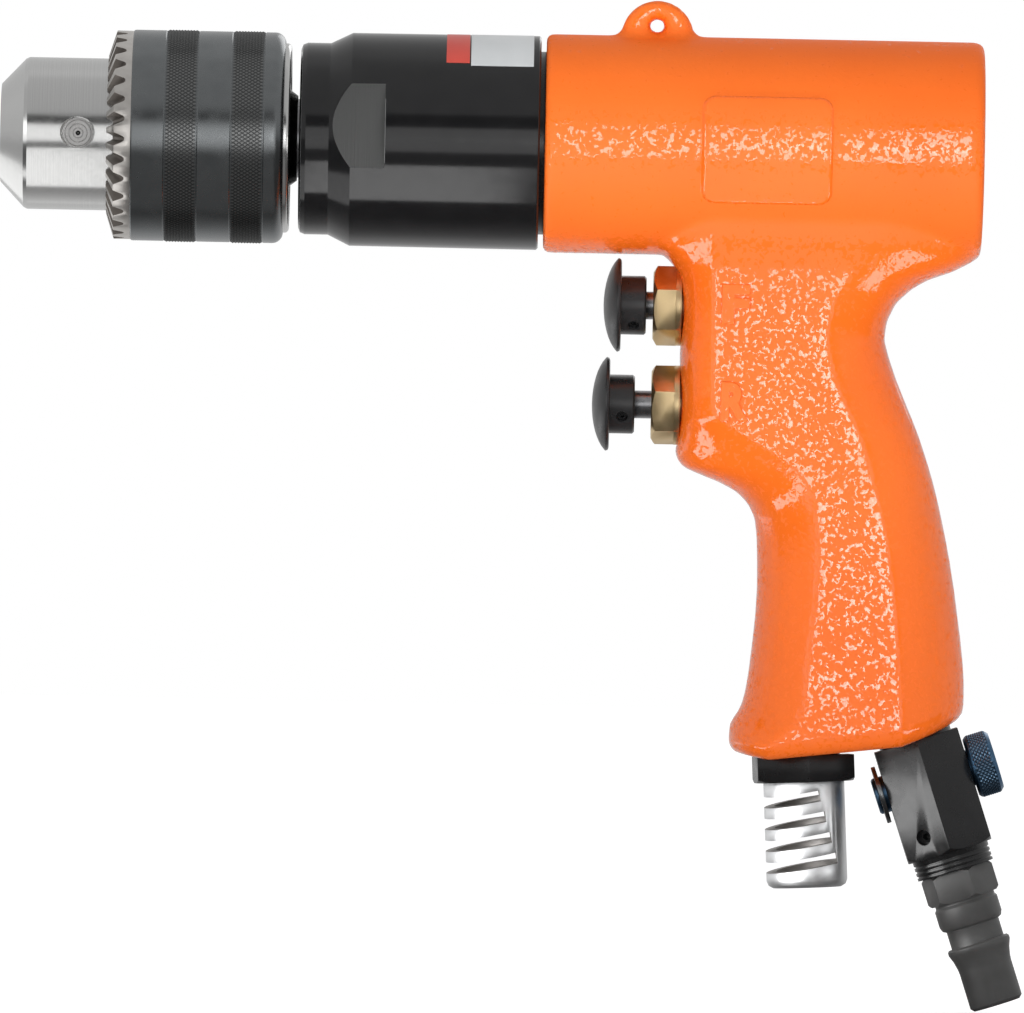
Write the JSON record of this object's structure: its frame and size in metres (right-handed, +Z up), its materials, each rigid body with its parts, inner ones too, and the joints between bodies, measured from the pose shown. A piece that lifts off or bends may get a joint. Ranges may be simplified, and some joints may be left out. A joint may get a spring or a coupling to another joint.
{
  "type": "air drill",
  "caption": "Pistol-grip reversible air drill with a keyed three-jaw chuck, planetary gear case, vane motor, forward and reverse push buttons, muffler and hose plug with flow regulator.",
  "frame": {"origin": "centre of the chuck's mouth, on the spindle axis at the nose plane", "axes": "+X along the spindle towards the rear of the motor, +Z up with the grip towards -Z, the pictured side faces -Y"},
  "size_m": [0.2241, 0.0476, 0.2169],
  "materials": {
    "orange_casting": "orange baked paint on cast aluminium",
    "black_case": "black anodised aluminium",
    "dark_steel": "black oxide steel",
    "bright_steel": "bright ground steel",
    "gear_steel": "hardened steel",
    "iron": "machined cast iron",
    "brass": "machined brass",
    "black_plastic": "moulded black plastic",
    "vane_plastic": "fibre laminate",
    "seal_rubber": "black rubber",
    "muffler_metal": "bare machined aluminium",
    "blued_steel": "heat-blued steel"
  },
  "bodies": {
    "housing": {"housing": "orange_casting", "gear_case": "black_case", "ring_gear": "dark_steel", "gear_spacer": "gear_steel", "spindle_seal": "seal_rubber", "spindle_bearing_outers": "gear_steel", "bearing_spacer": "gear_steel", "rotor_bearing_outers": "gear_steel", "motor_cylinder": "iron", "front_plate": "iron", "rear_plate": "iron", "rear_gasket": "seal_rubber", "forward_cap": "brass", "forward_seat": "brass", "forward_spring": "gear_steel", "reverse_cap": "brass", "reverse_seat": "brass", "reverse_spring": "gear_steel", "muffler_nut": "dark_steel", "muffler_tube": "muffler_metal", "inlet_body": "dark_steel", "inlet_screw": "dark_steel", "plug": "dark_steel"},
    "spindle": {"spindle": "gear_steel", "output_pins": "gear_steel", "spindle_bearing_inners": "gear_steel", "chuck_body": "bright_steel", "chuck_screw": "dark_steel"},
    "spindle_balls": {"spindle_bearing_balls": "gear_steel"},
    "output_planet_1": {"output_planet_1": "gear_steel"},
    "output_planet_2": {"output_planet_2": "gear_steel"},
    "output_planet_3": {"output_planet_3": "gear_steel"},
    "input_carrier": {"input_carrier": "gear_steel", "input_pins": "gear_steel"},
    "input_planet_1": {"input_planet_1": "gear_steel"},
    "input_planet_2": {"input_planet_2": "gear_steel"},
    "input_planet_3": {"input_planet_3": "gear_steel"},
    "rotor": {"rotor": "gear_steel", "vanes": "vane_plastic", "rotor_bearing_inners": "gear_steel"},
    "rotor_balls": {"rotor_bearing_balls": "gear_steel"},
    "chuck_sleeve": {"chuck_sleeve": "dark_steel", "jaw_nut": "gear_steel"},
    "jaw_1": {"jaw_1": "gear_steel"},
    "jaw_2": {"jaw_2": "gear_steel"},
    "jaw_3": {"jaw_3": "gear_steel"},
    "forward_button": {"forward_button": "black_plastic", "forward_stem": "gear_steel", "forward_seal": "seal_rubber", "forward_grub_screw": "dark_steel"},
    "reverse_button": {"reverse_button": "black_plastic", "reverse_stem": "gear_steel", "reverse_seal": "seal_rubber", "reverse_grub_screw": "dark_steel"},
    "regulator": {"regulator_spool": "blued_steel", "regulator_seals": "seal_rubber", "regulator_clip": "dark_steel"}
  },
  "joints": [
    {"name": "spindle_spin", "type": "hinge", "parent": "housing", "child": "spindle", "pos_m": [0.0805, 0, 0], "axis": [1, 0, 0], "continuous": true},
    {"name": "spindle_balls_roll", "type": "hinge", "parent": "housing", "child": "spindle_balls", "pos_m": [0.0805, 0, 0], "axis": [1, 0, 0], "continuous": true},
    {"name": "input_carrier_spin", "type": "hinge", "parent": "housing", "child": "input_carrier", "pos_m": [0.106, 0, 0], "axis": [1, 0, 0], "continuous": true},
    {"name": "rotor_spin", "type": "hinge", "parent": "housing", "child": "rotor", "pos_m": [0.166, 0, 0], "axis": [1, 0, 0], "continuous": true},
    {"name": "rotor_balls_roll", "type": "hinge", "parent": "housing", "child": "rotor_balls", "pos_m": [0.166, 0, 0], "axis": [1, 0, 0], "continuous": true},
    {"name": "output_planet_1_spin", "type": "hinge", "parent": "spindle", "child": "output_planet_1", "pos_m": [0.1, 0, -0.0108], "axis": [1, 0, 0], "continuous": true},
    {"name": "output_planet_2_spin", "type": "hinge", "parent": "spindle", "child": "output_planet_2", "pos_m": [0.1, 0.00935, 0.0054], "axis": [1, 0, 0], "continuous": true},
    {"name": "output_planet_3_spin", "type": "hinge", "parent": "spindle", "child": "output_planet_3", "pos_m": [0.1, -0.00935, 0.0054], "axis": [1, 0, 0], "continuous": true},
    {"name": "input_planet_1_spin", "type": "hinge", "parent": "input_carrier", "child": "input_planet_1", "pos_m": [0.111, 0, -0.0108], "axis": [1, 0, 0], "continuous": true},
    {"name": "input_planet_2_spin", "type": "hinge", "parent": "input_carrier", "child": "input_planet_2", "pos_m": [0.111, 0.00935, 0.0054], "axis": [1, 0, 0], "continuous": true},
    {"name": "input_planet_3_spin", "type": "hinge", "parent": "input_carrier", "child": "input_planet_3", "pos_m": [0.111, -0.00935, 0.0054], "axis": [1, 0, 0], "continuous": true},
    {"name": "sleeve_turn", "type": "hinge", "parent": "spindle", "child": "chuck_sleeve", "pos_m": [0.04, 0, 0], "axis": [1, 0, 0], "range_deg": [-2108, 1581]},
    {"name": "jaw_1_slide", "type": "slide", "parent": "spindle", "child": "jaw_1", "axis": [-0.9703, -0.2419, 0], "range_m": [-0.0124, 0.0093]},
    {"name": "jaw_2_slide", "type": "slide", "parent": "spindle", "child": "jaw_2", "axis": [-0.9703, 0.121, -0.2095], "range_m": [-0.0124, 0.0093]},
    {"name": "jaw_3_slide", "type": "slide", "parent": "spindle", "child": "jaw_3", "axis": [-0.9703, 0.121, 0.2095], "range_m": [-0.0124, 0.0093]},
    {"name": "forward_press", "type": "slide", "parent": "housing", "child": "forward_button", "axis": [1, 0, 0], "range_m": [0, 0.0013], "stiffness_N_per_m": 2000, "springref_m": -0.003, "deforming": ["forward_spring"]},
    {"name": "reverse_press", "type": "slide", "parent": "housing", "child": "reverse_button", "axis": [1, 0, 0], "range_m": [0, 0.0034], "stiffness_N_per_m": 2000, "springref_m": -0.003, "deforming": ["reverse_spring"]},
    {"name": "regulator_turn", "type": "hinge", "parent": "housing", "child": "regulator", "pos_m": [0.20294, 0, -0.13603], "axis": [0.9494, 0, 0.314], "range_deg": [0, 90]}
  ],
  "couplings": [
    {"joint": "spindle_balls_roll", "follows": "spindle_spin", "ratio": 0.38461},
    {"joint": "input_carrier_spin", "follows": "spindle_spin", "ratio": 4.5},
    {"joint": "rotor_spin", "follows": "spindle_spin", "ratio": 20.25},
    {"joint": "rotor_balls_roll", "follows": "spindle_spin", "ratio": 7.7153},
    {"joint": "output_planet_1_spin", "follows": "spindle_spin", "ratio": -2.8},
    {"joint": "output_planet_2_spin", "follows": "spindle_spin", "ratio": -2.8},
    {"joint": "output_planet_3_spin", "follows": "spindle_spin", "ratio": -2.8},
    {"joint": "input_planet_1_spin", "follows": "spindle_spin", "ratio": -12.6},
    {"joint": "input_planet_2_spin", "follows": "spindle_spin", "ratio": -12.6},
    {"joint": "input_planet_3_spin", "follows": "spindle_spin", "ratio": -12.6},
    {"joint": "jaw_1_slide", "follows": "sleeve_turn", "m_per_rad": 0.00033693},
    {"joint": "jaw_2_slide", "follows": "sleeve_turn", "m_per_rad": 0.00033693},
    {"joint": "jaw_3_slide", "follows": "sleeve_turn", "m_per_rad": 0.00033693}
  ]
}
